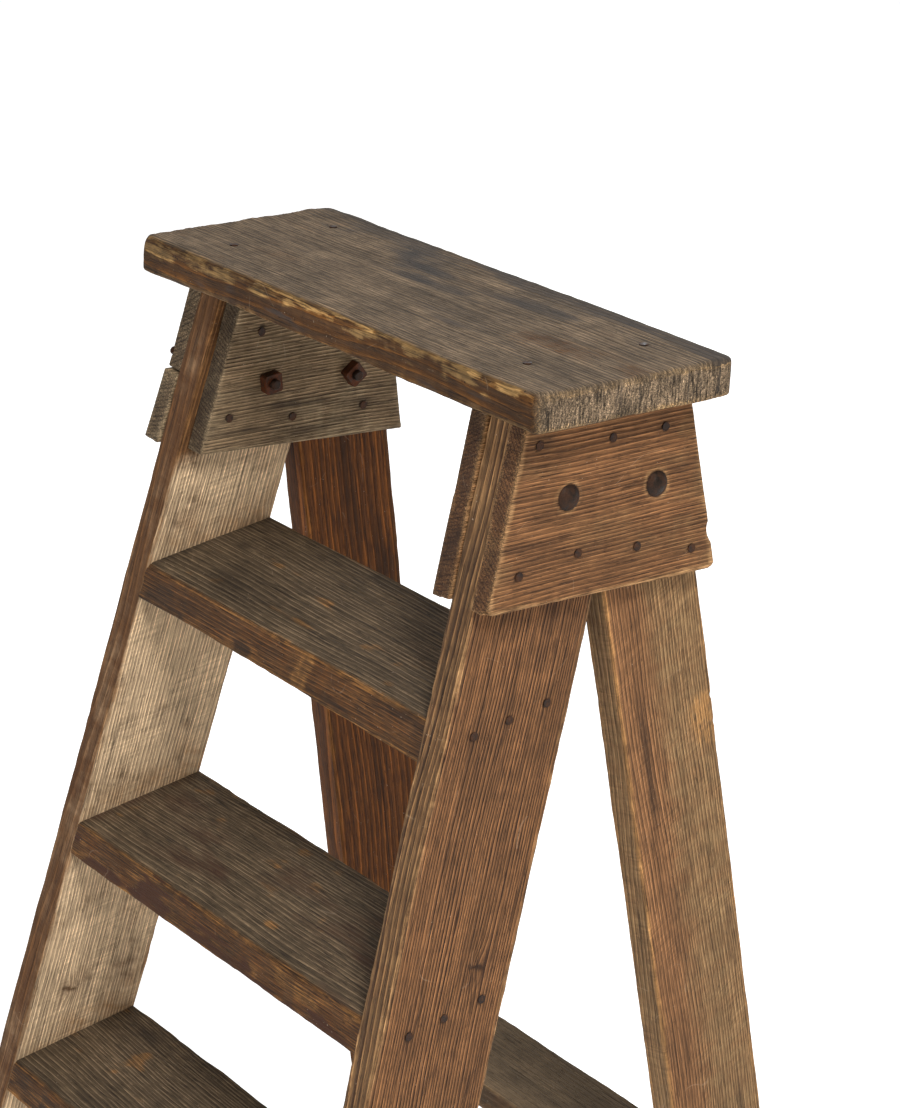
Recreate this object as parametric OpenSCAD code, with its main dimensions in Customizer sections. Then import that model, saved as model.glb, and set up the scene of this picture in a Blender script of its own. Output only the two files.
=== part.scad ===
// Trestle step ladder in weathered softwood.
//
// Two wide front stiles carry four housed treads. Two rear legs lie in the same
// plane as the stiles, and a pair of cheek boards on each side, one outside and
// one inside, is nailed and bolted across both of them. A plank nailed down on
// the heads of the stiles and legs is the top step, and a second plank ties the
// rear legs together. The frame is rigid: it does not fold.
//
// Frame: +Z up, the treads face -Y, +X is the right-hand side as seen by a
// climber. The origin is on the floor at the centre of the footprint.

/* [Top step] */
// Length of the top plank
cap_len = 558; // [520:5:600]
// Front-to-back depth of the top plank
cap_depth = 206; // [196:1:220]
// Thickness of the top plank
cap_th = 32; // [22:1:40]
// Height of the underside of the top plank above the floor
under_h = 1198; // [1150:2:1240]

/* [Front frame] */
// Width of a front stile, square to its length
stile_w = 124; // [115:1:130]
// Thickness of the stiles and of the rear legs
stile_th = 30; // [27:1:34]
// Lean of the front stiles from upright, in degrees
stile_lean = 14.8; // [13:0.1:17]
// Thickness of the treads
tread_th = 30; // [25:1:34]
// Forward slope of the treads, in degrees
tread_slope = 9; // [4:0.5:10]
// Depth of the housings that hold the treads and the rear plank
housing = 10; // [6:1:14]

/* [Rear frame] */
// Width of a rear leg, square to its length
leg_w = 100; // [90:1:104]
// Lean of the rear legs from upright, in degrees
leg_lean = 10.7; // [9:0.1:12]
// Drop from the top plank to the upper face of the rear plank
plank_drop = 793; // [760:1:860]
// Thickness of the rear plank
plank_th = 28; // [22:1:32]

/* [Head] */
// Width across the outer cheeks just under the top plank
head_w = 483; // [470:1:490]
// Outward splay of each side from upright, in degrees
splay = 3.45; // [2.5:0.05:4]
// Thickness of the cheek boards
cheek_th = 22; // [18:1:24]
// Height of the right-hand cheeks at their front edge
cheek_h_right = 154; // [148:1:160]
// Height of the left-hand cheeks at their front edge
cheek_h_left = 143; // [138:1:160]

/* [Fasteners] */
// Diameter of the carriage bolts
bolt_d = 9.5; // [8:0.5:10]
// Diameter of the domed bolt heads
bolt_head_d = 21.5; // [18:0.5:24]
// Width across the flats of the square nuts
nut_w = 17.5; // [15:0.5:19]
// Diameter of the nail heads
nail_head_d = 7.4; // [5:0.2:8]

/* [Hidden] */

// How far the top plank sits forward of the middle of the head.
cap_forward = 0.5;

// Drop from the top plank to the upper rear arris of each tread. The rises are
// not quite even, because the ladder was set out by hand.
tread_drop = [228, 474, 712, 954];

total_h = under_h + cap_th;
big = 4000;

// Front edge of a stile and rear edge of a leg, at the underside of the top
// plank, before the model is centred on its footprint.
stile_y0 = -75;
leg_y0 = 90;
stile_run = stile_w / cos(stile_lean);      // level width of a stile
leg_run = leg_w / cos(leg_lean);            // level width of a leg

// Centre of the footprint along Y, taken out at the end.
foot_front = stile_y0 - under_h * tan(stile_lean);
foot_rear = leg_y0 + under_h * tan(leg_lean);
y_mid = (foot_front + foot_rear) / 2;

// Layers of the head, counted inwards from the outer face of the outer cheek.
x_stile = cheek_th;                          // outer face of the stile
x_inner = cheek_th + stile_th;               // outer face of the inner cheek
x_last = 2 * cheek_th + stile_th;            // inner face of the inner cheek

// Edges of the members at a drop v below the top plank.
function stile_front(v) = stile_y0 - v * tan(stile_lean);
function stile_rear(v) = stile_front(v) + stile_run;
function leg_rear(v) = leg_y0 + v * tan(leg_lean);
function leg_front(v) = leg_rear(v) - leg_run;
// Drop of a tread's upper face at y, for the tread whose rear arris is at v0.
function tread_v(v0, y) = v0 + (stile_rear(v0) - y) * tan(tread_slope);
// Half distance between the sides at a drop v, at layer depth x.
function side_x(v, x) = head_w / 2 + v * tan(splay) - x / cos(splay);

// ---- outlines -----------------------------------------------------------

// Outline with each corner eased by an arc of radius r in n segments.
// The corners are listed anticlockwise.
function unit(a) = a / norm(a);
function eased(p, r, n = 3) = [
    for (i = [0 : len(p) - 1])
        let (a = p[(i + len(p) - 1) % len(p)], b = p[i], c = p[(i + 1) % len(p)],
             u = unit(a - b), w = unit(c - b),
             half = acos(max(-1, min(1, u * w))) / 2,
             ri = is_list(r) ? r[i] : r,
             d = ri / tan(half), m = b + unit(u + w) * ri / sin(half),
             s = b + u * d, e = b + w * d,
             a0 = atan2(s[1] - m[1], s[0] - m[0]),
             a1 = atan2(e[1] - m[1], e[0] - m[0]),
             turn = (a1 - a0 + 540) % 360 - 180)
            for (k = [0 : n]) m + ri * [cos(a0 + turn * k / n), sin(a0 + turn * k / n)]
];

// Extrusion along X of an outline drawn in the YZ plane.
module along_x(x0, x1, pts)
    translate([x0, 0, 0]) rotate([90, 0, 90]) linear_extrude(x1 - x0) polygon(pts);

// ---- placing ------------------------------------------------------------

// Children drawn in the head frame: Y as in the model, Z up with zero at the
// underside of the top plank.
module placed() translate([0, -y_mid, under_h]) children();

// Children drawn flat on one side: X outwards from the outer cheek's face,
// Z up along the splayed side. side is 1 for right and -1 for left.
module on_side(side)
    mirror([side < 0 ? 1 : 0, 0, 0])
        placed() translate([head_w / 2, 0, 0]) rotate([0, -splay, 0]) children();

// Trims children level at the floor and under the top plank.
module level_cut()
    intersection() {
        children();
        translate([-big / 2, -big / 2, 0]) cube([big, big, under_h]);
    }

// ---- fasteners ----------------------------------------------------------

// Cut nail driven along -X with the top of its head at x = 0.
module nail(length) {
    rotate([0, -90, 0]) cylinder(h = 1.6, d = nail_head_d, $fn = 24);
    translate([-length, -1.5, -1.5]) cube([length - 1, 3, 3]);
}

// Carriage bolt along -X with the seat of its head at x = 0.
grip = 2 * cheek_th + stile_th;
nut_th = 9;
bolt_len = grip + nut_th + 4;
head_h = 5.5;
head_r = (bolt_head_d * bolt_head_d / 4 + head_h * head_h) / (2 * head_h);
head_turn = asin(bolt_head_d / 2 / head_r);
neck = 9.5;
module carriage_bolt() {
    rotate([0, 90, 0]) rotate_extrude($fn = 48) polygon(concat(
        [[0, -bolt_len], [bolt_d / 2 - 1, -bolt_len], [bolt_d / 2, 1 - bolt_len],
         [bolt_d / 2, 0]],
        [for (k = [0 : 7]) let (a = head_turn * (1 - k / 8))
            [head_r * sin(a), head_h - head_r + head_r * cos(a)]],
        [[0, head_h]]));
    translate([-5, -neck / 2, -neck / 2]) cube([5, neck, neck]);
}
// Room for a bolt through the boards, with a pocket for its square neck.
module bolt_room() {
    translate([-bolt_len, 0, 0]) rotate([0, 90, 0])
        cylinder(h = bolt_len + 10, d = bolt_d + 0.5, $fn = 32);
    translate([-5, -neck / 2, -neck / 2]) cube([15, neck, neck]);
}
// Square nut with its corners turned off, seated against the inner cheek.
module square_nut(turn) {
    translate([-grip - nut_th, 0, 0]) rotate([turn, 0, 0]) difference() {
        intersection() {
            translate([0, -nut_w / 2, -nut_w / 2]) cube([nut_th, nut_w, nut_w]);
            rotate([0, 90, 0]) cylinder(h = nut_th, d = nut_w * 1.3, $fn = 48);
        }
        translate([-1, 0, 0]) rotate([0, 90, 0])
            cylinder(h = nut_th + 2, d = bolt_d + 0.1, $fn = 32);
    }
}

// Bolt centres on each side: y, drop, and the turn of the nut.
bolts_right = [[-38, 70, 20], [54, 75, 55]];
bolts_left = [[-35, 83, 8], [56, 89, 38]];
function bolts(side) = side > 0 ? bolts_right : bolts_left;

// Nails through the cheeks: y and drop, on the outer and on the inner face.
outer_nails_right = [[-68, 23], [7, 29], [62, 29], [-87, 126], [-27, 118], [35, 124], [94, 137]];
inner_nails_right = [[-52, 40], [70, 40], [-84, 122], [-8, 130], [80, 132]];
outer_nails_left = [[-66, 26], [10, 32], [66, 30], [-88, 70], [-80, 126], [-20, 118], [84, 128]];
inner_nails_left = [[-45, 36], [-75, 112], [-6, 122], [73, 124]];
cheek_nail = 46;

module cheek_nails(side) {
    for (p = side > 0 ? outer_nails_right : outer_nails_left)
        translate([0, p[0], -p[1]]) nail(cheek_nail);
    for (p = side > 0 ? inner_nails_right : inner_nails_left)
        translate([-x_last, p[0], -p[1]]) rotate([0, 0, 180]) nail(25);
}

// Nails through the stiles into the ends of each tread: three in a row that
// follows the slope of the tread, half way down its thickness.
tread_nail_back = [28, 64, 103];
tread_nail = 62;
module tread_nails(side)
    for (v0 = tread_drop, b = tread_nail_back)
        let (v1 = v0 + tread_th / 2, y = stile_front(v1 + 8) + b)
            translate([-x_stile, y, -(tread_v(v0, y) + tread_th / 2) / cos(splay)])
                nail(tread_nail);

// Nails through the rear legs into the ends of the rear plank.
module plank_nails(side)
    for (b = [28, 74])
        let (v = plank_drop + plank_th / 2)
            translate([-x_stile, leg_front(v) + b, -v / cos(splay)]) nail(tread_nail);

// Nails down through the top plank into the heads of the stiles and legs.
cap_nails_at = [[204, -53], [212, 60], [-204, -53], [-212, 60]];
module cap_nails()
    placed() for (p = cap_nails_at)
        translate([p[0], p[1], cap_th]) rotate([0, -90, 0]) nail(75);

// Everything that has to be cleared out of the boards of one side.
module side_fasteners(side) {
    on_side(side) {
        for (b = bolts(side)) translate([0, b[0], -b[1]]) bolt_room();
        cheek_nails(side);
        tread_nails(side);
        plank_nails(side);
    }
    cap_nails();
}

// ---- boards -------------------------------------------------------------

// Straight bar of section w by stile_th with eased arrises. Its front or rear
// edge leaves y0 at the head and leans by the given angle.
module bar(w, y_edge, lean, to_rear) {
    s = to_rear ? [y_edge - w, y_edge] : [y_edge, y_edge + w];
    rotate([to_rear ? lean : -lean, 0, 0])
        translate([0, 0, -under_h * 1.2])
            linear_extrude(under_h * 1.4)
                polygon(eased([[-x_inner, s[0]], [-x_stile, s[0]],
                               [-x_stile, s[1]], [-x_inner, s[1]]], 2.5));
}

module stile(side)
    difference() {
        level_cut() on_side(side) translate([0, stile_y0, 0]) bar(stile_w, 0, stile_lean, false);
        for (v0 = tread_drop) tread_solid(v0);
        side_fasteners(side);
    }

module rear_leg(side)
    difference() {
        level_cut() on_side(side) translate([0, leg_y0, 0]) bar(leg_w, 0, leg_lean, true);
        // the head of the leg is cut off along the rear edge of the stile
        on_side(side) translate([0, stile_y0, 0]) rotate([-stile_lean, 0, 0])
            translate([-200, stile_w - 300, -400]) cube([400, 300, 800]);
        plank_solid();
        side_fasteners(side);
    }

// Outline of a cheek: level top, front edge along the stile, rear edge along
// the leg. fwd moves its front edge, hf and hr are its front and rear heights.
function cheek_outline(fwd, hf, hr) = [
    [stile_front(hf) - fwd, -hf], [leg_rear(hr) + 1.5, -hr],
    [leg_y0 - 2 - 10 * tan(leg_lean), 10], [stile_y0 - fwd + 10 * tan(stile_lean), 10]];

module cheek(side, x_out, fwd, hf, hr)
    difference() {
        level_cut() on_side(side)
            along_x(-x_out - cheek_th, -x_out, eased(cheek_outline(fwd, hf, hr), [4, 4, 1, 1]));
        side_fasteners(side);
    }

// The outer left cheek has split along the grain from its front edge, and its
// upper strip has shrunk back.
split_drop = 84;
module left_split()
    on_side(-1) {
        along_x(-cheek_th - 5, 5, [[-200, -split_drop], [stile_front(split_drop) + 3, -split_drop],
                                   [stile_front(0) + 3, 20], [-200, 20]]);
        along_x(-cheek_th - 5, 5, [[-200, -split_drop - 1.5], [10, -split_drop + 1],
                                   [10, -split_drop + 1.3], [-200, -split_drop + 1.5]]);
    }

// Section of a tread between the front and rear edges of the stiles. Its
// edges are planed flush with the stiles and its nosing is worn round.
function tread_outline(v0) =
    let (th = tread_th / cos(tread_slope),
         ts = tan(tread_slope), tl = tan(stile_lean),
         q = 1 / (1 - ts * tl),
         vf = (v0 + (stile_rear(v0) - stile_y0 + 1) * ts) * q,
         vfb = (v0 + th + (stile_rear(v0) - stile_y0 + 1) * ts) * q,
         vrb = (v0 + th + (stile_rear(v0) - stile_y0 - stile_run) * ts) * q)
    [[stile_front(vfb) + 1, -vfb], [stile_rear(vrb), -vrb],
     [stile_rear(v0), -v0], [stile_front(vf) + 1, -vf]];

// Board along X whose ends run into the housings on both sides.
module housed(pts)
    placed() intersection() {
        along_x(-400, 400, pts);
        rotate([90, 0, 0]) linear_extrude(1200, center = true) polygon([
            [-side_x(0, x_inner - housing), 0], [-side_x(under_h, x_inner - housing), -under_h],
            [side_x(under_h, x_inner - housing), -under_h], [side_x(0, x_inner - housing), 0]]);
    }

module tread_solid(v0) housed(eased(tread_outline(v0), [2, 2, 3, 5]));

module tread(v0)
    difference() {
        tread_solid(v0);
        for (side = [-1, 1]) on_side(side) tread_nails(side);
    }

module plank_solid()
    housed(eased([[leg_front(plank_drop) + 1, -plank_drop - plank_th],
                  [leg_rear(plank_drop), -plank_drop - plank_th],
                  [leg_rear(plank_drop), -plank_drop],
                  [leg_front(plank_drop) + 1, -plank_drop]], [2, 2, 3, 5]));

// ---- nodes --------------------------------------------------------------

// Plank with worn corners and arrises.
module top_step()
    color("#7d6a52") difference() {
        placed() translate([0, -cap_forward, 0]) intersection() {
            linear_extrude(cap_th) polygon(eased([
                [-cap_len / 2, -cap_depth / 2], [cap_len / 2, -cap_depth / 2],
                [cap_len / 2, cap_depth / 2], [-cap_len / 2, cap_depth / 2]], [9, 8, 14, 14], 6));
            along_x(-cap_len, cap_len, eased([
                [-cap_depth / 2, 0], [cap_depth / 2, 0],
                [cap_depth / 2, cap_th], [-cap_depth / 2, cap_th]], [5, 5, 6, 8], 5));
        }
        cap_nails();
    }

module stile_right() color("#8b6442") stile(1);
module stile_left() color("#a3835c") stile(-1);
module rear_leg_right() color("#8f6e4b") rear_leg(1);
module rear_leg_left() color("#86532f") rear_leg(-1);

module cheek_outer_right()
    color("#80512f") cheek(1, 0, 4, cheek_h_right, cheek_h_right + 5);
module cheek_inner_right()
    color("#6f5138") cheek(1, x_inner, 2, cheek_h_right, cheek_h_right + 5);
module cheek_outer_left()
    color("#7a5c3e") difference() {
        cheek(-1, 0, 0, cheek_h_left + 6, cheek_h_left + 12);
        left_split();
    }
module cheek_inner_left()
    color("#7f7058") cheek(-1, x_inner, -8, cheek_h_left, cheek_h_left + 12);

module tread_1() color("#6b5a45") tread(tread_drop[0]);
module tread_2() color("#6b5a45") tread(tread_drop[1]);
module tread_3() color("#6b5a45") tread(tread_drop[2]);
module tread_4() color("#6b5a45") tread(tread_drop[3]);

module rear_plank()
    color("#5f554a") difference() {
        plank_solid();
        for (side = [-1, 1]) on_side(side) plank_nails(side);
    }

module carriage_bolts()
    color("#3b302b") for (side = [-1, 1]) on_side(side)
        for (b = bolts(side)) translate([0, b[0], -b[1]]) carriage_bolt();
module square_nuts()
    color("#5a3526") for (side = [-1, 1]) on_side(side)
        for (b = bolts(side)) translate([0, b[0], -b[1]]) square_nut(b[2]);

module top_step_nails() color("#3a2a22") cap_nails();
module cheek_nails_right() color("#3a2a22") on_side(1) cheek_nails(1);
module cheek_nails_left() color("#3a2a22") on_side(-1) cheek_nails(-1);
module tread_nails_right() color("#3a2a22") on_side(1) tread_nails(1);
module tread_nails_left() color("#3a2a22") on_side(-1) tread_nails(-1);
module rear_plank_nails() color("#3a2a22") for (side = [-1, 1]) on_side(side) plank_nails(side);

top_step();
stile_right();
stile_left();
rear_leg_right();
rear_leg_left();
cheek_outer_right();
cheek_inner_right();
cheek_outer_left();
cheek_inner_left();
tread_1();
tread_2();
tread_3();
tread_4();
rear_plank();
carriage_bolts();
square_nuts();
top_step_nails();
cheek_nails_right();
cheek_nails_left();
tread_nails_right();
tread_nails_left();
rear_plank_nails();
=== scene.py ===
"""Weathered softwood trestle step ladder on a pale studio floor.

Every board is a dense closed mesh that replaces its CAD node: the arrises are worn round, the faces
are uneven, and the growth rings stand up as ridges. Each vertex keeps its place in the plank that the
board was sawn from (attribute "wood", millimetres, X along the grain), its growth ring's number
("ring"), so that the rings in the colour and in the surface agree on faces, edges and end grain alike,
and its wear and painted shade ("marks": worn arris, grime with painted shade, second tone and end grain).
"""
import math

import bpy
import numpy as np
from mathutils import Matrix, Vector


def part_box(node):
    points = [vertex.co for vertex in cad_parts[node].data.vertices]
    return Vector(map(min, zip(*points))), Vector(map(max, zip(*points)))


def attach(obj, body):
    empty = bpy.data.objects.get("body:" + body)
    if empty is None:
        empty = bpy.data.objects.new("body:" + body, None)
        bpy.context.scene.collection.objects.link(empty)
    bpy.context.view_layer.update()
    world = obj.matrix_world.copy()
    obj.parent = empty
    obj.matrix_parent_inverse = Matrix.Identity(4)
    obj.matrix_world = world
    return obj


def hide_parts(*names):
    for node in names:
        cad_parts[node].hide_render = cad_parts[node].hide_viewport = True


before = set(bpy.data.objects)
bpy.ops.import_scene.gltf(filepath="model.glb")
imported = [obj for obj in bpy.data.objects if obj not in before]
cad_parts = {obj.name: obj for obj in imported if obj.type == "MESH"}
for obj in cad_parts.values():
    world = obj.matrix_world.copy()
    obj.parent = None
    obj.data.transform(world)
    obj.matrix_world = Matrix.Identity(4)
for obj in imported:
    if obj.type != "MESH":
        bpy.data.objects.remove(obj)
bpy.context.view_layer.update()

MM = 0.001

# ---- driving dimensions, as in the CAD, in millimetres ---------------------------------------

LEAN = math.radians(14.8)            # stiles, from upright
LEG_LEAN = math.radians(10.7)        # rear legs, from upright
SPLAY = math.radians(3.45)
SLOPE = math.radians(9.0)            # treads, down towards the front
STILE_W, LEG_W, BOARD_TH = 124.0, 100.0, 30.0
CHEEK_TH, HEAD_W = 22.0, 483.0
TREAD_TH, PLANK_TH, HOUSING = 30.0, 28.0, 10.0
CAP_L, CAP_D, CAP_TH = 558.0, 206.0, 32.0
STILE_Y0, LEG_Y0 = -75.0, 90.0       # stile's front and leg's rear edge under the top step

# ---- places read from the frame ---------------------------------------------------------------


def low(node):
    return [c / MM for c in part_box(node)[0]]


def high(node):
    return [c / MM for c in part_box(node)[1]]


UNDER = low("top_step")[2]           # underside of the top step
Y_SHIFT = low("stile_right")[1] - (STILE_Y0 - UNDER * math.tan(LEAN))
CAP_Y = (low("top_step")[1] + high("top_step")[1]) / 2
TREADS = ["tread_1", "tread_2", "tread_3", "tread_4"]
TREAD_DROP = {name: round(UNDER - high(name)[2]) for name in TREADS}
PLANK_DROP = round(UNDER - high("rear_plank")[2])


def stile_front(v):
    return STILE_Y0 - v * math.tan(LEAN)


def stile_rear(v):
    return stile_front(v) + STILE_W / math.cos(LEAN)


def leg_rear(v):
    return LEG_Y0 + v * math.tan(LEG_LEAN)


def leg_front(v):
    return leg_rear(v) - LEG_W / math.cos(LEG_LEAN)


# ---- noise ------------------------------------------------------------------------------------


def smooth(a, b, x):
    t = np.clip((x - a) / (b - a), 0, 1)
    return t * t * (3 - 2 * t)


def lattice_value(i, seed):
    """One value from -1 to 1 for each whole-numbered point."""
    n = i[:, 0] * 73856093 ^ i[:, 1] * 19349663 ^ i[:, 2] * 83492791 ^ (seed * 2654435761)
    n = (n ^ (n >> 13)) * 1274126177 & 0xFFFFFFFF
    n = (n ^ (n >> 16)) * 2246822519 & 0xFFFFFFFF
    return ((n ^ (n >> 15)) & 0xFFFF) / 32767.5 - 1


def noise(p, scale, seed=0, octaves=1):
    """Smooth value noise from about -1 to 1. scale is the feature size along each axis."""
    q = p / np.asarray(scale, float)
    total, weight, gain = 0, 0, 1.0
    for octave in range(octaves):
        cell = np.floor(q).astype(np.int64)
        f = q - cell
        f = f * f * (3 - 2 * f)
        value = 0
        for corner in range(8):
            offset = np.array([corner & 1, corner >> 1 & 1, corner >> 2 & 1])
            share = np.prod(np.where(offset, f, 1 - f), axis=1)
            value = value + share * lattice_value(cell + offset, seed + octave * 17)
        total = total + gain * value
        weight += gain
        gain *= 0.5
        q = q * 2.03
    return total / weight


# ---- growth rings -----------------------------------------------------------------------------

# The rings bend along the board in a few long waves: length in mm along the grain, across the
# width and through the thickness, with height in mm.
WAVES = [((1300, 900, 700), 4.5), ((520, -400, 400), 1.6), ((210, 330, -260), 0.5), ((90, 140, 90), 0.12)]


class Timber:
    """How one board was cut: ring spacing, place of the pith, seed and knots, in millimetres."""

    def __init__(self, seed, spacing=3.4, pith=(-150, -90), ridge=0.25, knots=()):
        self.seed, self.spacing, self.pith, self.ridge, self.knots = seed, spacing, pith, ridge, knots

    def phases(self):
        return [(self.seed * 1.7 + k * 2.1) % (2 * math.pi) for k in range(len(WAVES))]

    def rings(self, p):
        """Ring number at each point of the board, as a running number."""
        radius = np.hypot(p[:, 1] - self.pith[0], p[:, 2] - self.pith[1])
        for (length, height), phase in zip(WAVES, self.phases()):
            radius = radius + height * np.sin(p @ (2 * math.pi / np.array(length, float)) + phase)
        for x, y, size in self.knots:
            away = ((p[:, 0] - x) / (2.6 * size)) ** 2 + ((p[:, 1] - y) / size) ** 2
            radius = radius + 0.7 * size * np.exp(-away)
        n = radius / self.spacing
        return n + 0.22 * np.sin(0.9 * n) + 0.25 * np.sin(0.43 * n + 1)

    def late(self, p):
        """0 in the soft early wood of each ring, 1 in its hard late wood."""
        f = np.mod(self.rings(p), 1)
        return smooth(0.3, 0.85, f) * (1 - smooth(0.93, 1.0, f))


# ---- board meshes -----------------------------------------------------------------------------


def spread(half, step, fine=0.9, margin=4.0):
    """Coordinates from -half to half, about step apart and finer near both ends."""
    margin = min(margin, half * 0.5)
    edge = np.linspace(0, margin, max(2, round(margin / fine)) + 1)
    count = max(2, round(2 * (half - margin) / step))
    middle = np.linspace(-half + margin, half - margin, count + 1)
    return np.concatenate([-half + edge[:-1], middle, half - edge[-2::-1]])


def shell(axes):
    """Vertices and outward quads of a box whose faces are grids."""
    ny, nz = len(axes[1]), len(axes[2])
    faces = []
    for axis in range(3):
        a, b = [(1, 2), (2, 0), (0, 1)][axis]
        ia, ib = np.meshgrid(np.arange(len(axes[a]) - 1), np.arange(len(axes[b]) - 1), indexing="ij")
        for end in (0, len(axes[axis]) - 1):
            quad = []
            for da, db in ((0, 0), (1, 0), (1, 1), (0, 1)):
                index = [None] * 3
                index[axis] = np.full(ia.size, end)
                index[a] = ia.ravel() + da
                index[b] = ib.ravel() + db
                quad.append((index[0] * ny + index[1]) * nz + index[2])
            faces.append(np.stack(quad if end else quad[::-1], axis=1))
    keys, corners = np.unique(np.concatenate(faces), return_inverse=True)
    at = np.stack([axes[0][keys // (ny * nz)], axes[1][keys // nz % ny], axes[2][keys % nz]], axis=1)
    return at, corners.reshape(-1, 4)


# Type and field of a mesh attribute, by how many numbers each vertex has.
ATTRIBUTE_KINDS = {1: ("FLOAT", "value"), 3: ("FLOAT_VECTOR", "vector"), 4: ("FLOAT_COLOR", "color")}


def make_mesh(name, points, quads, attributes):
    """Mesh object in the row frame, from points in millimetres."""
    mesh = bpy.data.meshes.new(name)
    mesh.vertices.add(len(points))
    mesh.vertices.foreach_set("co", (points * MM).astype(np.float32).ravel())
    mesh.loops.add(quads.size)
    mesh.loops.foreach_set("vertex_index", quads.astype(np.int32).ravel())
    mesh.polygons.add(len(quads))
    mesh.polygons.foreach_set("loop_start", np.arange(0, quads.size, 4, dtype=np.int32))
    mesh.polygons.foreach_set("use_smooth", np.ones(len(quads), dtype=bool))
    mesh.update(calc_edges=True)
    for key, values in attributes.items():
        kind, field = ATTRIBUTE_KINDS[values.shape[1]]
        layer = mesh.attributes.new(key, kind, "POINT")
        layer.data.foreach_set(field, values.astype(np.float32).ravel())
    piece = bpy.data.objects.new(name, mesh)
    bpy.context.scene.collection.objects.link(piece)
    return piece


def on_side(side, p):
    """Points of one side, X outwards from the outer cheek's face and Z up the splay, to the row frame."""
    x = HEAD_W / 2 + p[:, 0] * math.cos(SPLAY) - p[:, 2] * math.sin(SPLAY)
    z = p[:, 0] * math.sin(SPLAY) + p[:, 2] * math.cos(SPLAY)
    return np.stack([side * x, p[:, 1] + Y_SHIFT, UNDER + z], axis=1)


# What the channels of a mesh's "marks" hold. The grime channel holds both real grime and painted shade.
WORN, GRIME_AND_SHADE, TONE, END = range(4)


def lay(marks, channel, amount):
    """Raises one channel of the marks to amount where it is lower."""
    marks[:, channel] = np.maximum(marks[:, channel], amount)


def bites(p, places):
    """Depth of the chips at each point. A place is (x, y, z, reach along, reach across, depth)."""
    depth = np.zeros(len(p))
    for x, y, z, along, across, deep in places:
        d = ((p[:, 0] - x) / along) ** 2 + ((p[:, 1] - y) / across) ** 2 + ((p[:, 2] - z) / across) ** 2
        depth = np.maximum(depth, deep * (1 - smooth(0.25, 1.0, d)))
    return depth


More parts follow.
